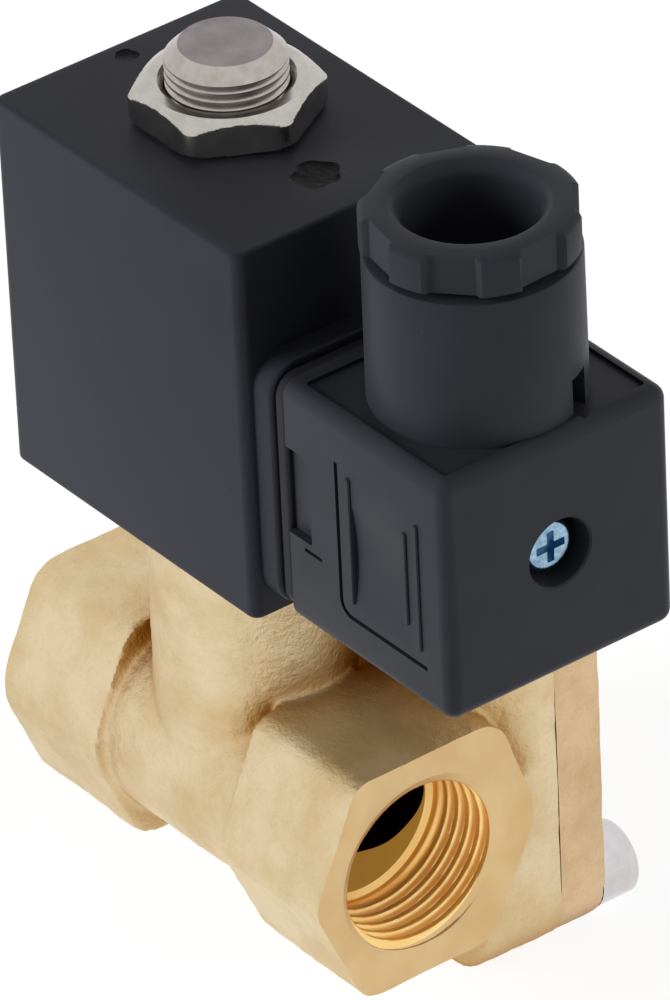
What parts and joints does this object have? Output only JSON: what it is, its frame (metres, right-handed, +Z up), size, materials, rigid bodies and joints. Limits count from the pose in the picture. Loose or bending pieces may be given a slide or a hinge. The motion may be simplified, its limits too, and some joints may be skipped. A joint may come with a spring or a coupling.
{
  "type": "two-way servo-piston solenoid valve",
  "caption": "Brass two-way pilot-operated solenoid valve with threaded ports, side bonnet, moulded coil and a square plug connector with cable gland.",
  "frame": {"origin": "on the pipe axis, where the inlet port's thread begins", "axes": "+X along the flow from inlet to outlet, +Y towards the bonnet, +Z up the armature tube"},
  "size_m": [0.0808, 0.0461, 0.1082],
  "materials": {
    "cast_brass": "blasted casting",
    "cover_brass": "blasted casting",
    "turned_brass": "turned",
    "chromed_steel": "polished",
    "nickel_plate": "polished nickel",
    "stainless": "turned",
    "spring_steel": "drawn wire",
    "plated_steel": "zinc plated",
    "tinned_steel": "tinned",
    "zinc_plate": "blue zinc",
    "copper": "enamelled or bare copper",
    "nitrile": "matte",
    "ptfe": "satin",
    "coil_plastic": "satin moulded",
    "connector_plastic": "satin moulded",
    "block_plastic": "moulded",
    "natural_plastic": "moulded"
  },
  "bodies": {
    "valve": {"valve_body": "cast_brass", "bonnet": "cover_brass", "bonnet_screws": "chromed_steel", "bonnet_seal": "nitrile", "guide_tube": "stainless", "fixed_core": "stainless", "shading_ring": "copper", "tube_seal": "nitrile", "piston_spring": "spring_steel", "plunger_spring": "spring_steel"},
    "piston": {"piston": "turned_brass", "piston_ring": "ptfe", "piston_disc": "nitrile", "disc_screw": "stainless"},
    "plunger": {"plunger": "stainless", "plunger_seal": "nitrile"},
    "coil": {"coil_housing": "coil_plastic", "magnet_frame": "plated_steel", "coil_bobbin": "natural_plastic", "coil_winding": "copper", "coil_terminals": "tinned_steel", "screw_insert": "turned_brass"},
    "coil_nut": {"coil_nut": "nickel_plate", "coil_washer": "plated_steel"},
    "plug": {"connector_gasket": "nitrile", "connector_housing": "connector_plastic", "terminal_block": "block_plastic", "terminal_sockets": "tinned_steel", "terminal_screws": "zinc_plate", "gland_sleeve": "nitrile", "gland_washer": "plated_steel"},
    "gland_nut": {"gland_nut": "connector_plastic"},
    "connector_screw": {"connector_screw": "zinc_plate", "screw_seal": "nitrile"}
  },
  "joints": [
    {"name": "plunger_lift", "type": "slide", "parent": "valve", "child": "plunger", "axis": [0, 0, 1], "range_m": [0, 0.0014], "stiffness_N_per_m": 300, "springref_m": -0.005, "deforming": ["plunger_spring"]},
    {"name": "piston_lift", "type": "slide", "parent": "valve", "child": "piston", "axis": [0, 1, 0], "range_m": [0, 0.0032], "stiffness_N_per_m": 500, "springref_m": -0.003, "deforming": ["piston_spring"]},
    {"name": "coil_turn", "type": "hinge", "parent": "valve", "child": "coil", "pos_m": [0.02582, 0, 0.055], "axis": [0, 0, 1], "continuous": true},
    {"name": "coil_nut_turn", "type": "hinge", "parent": "valve", "child": "coil_nut", "pos_m": [0.02582, 0, 0.0814], "axis": [0, 0, 1], "continuous": true},
    {"name": "plug_pull", "type": "slide", "parent": "coil", "child": "plug", "axis": [1, 0, 0], "range_m": [0, 0.014]},
    {"name": "gland_nut_turn", "type": "hinge", "parent": "plug", "child": "gland_nut", "pos_m": [0.06647, -0.00045, 0.085], "axis": [0, 0, 1], "continuous": true},
    {"name": "connector_screw_turn", "type": "hinge", "parent": "plug", "child": "connector_screw", "pos_m": [0.076, -0.00045, 0.052], "axis": [1, 0, 0], "continuous": true}
  ]
}
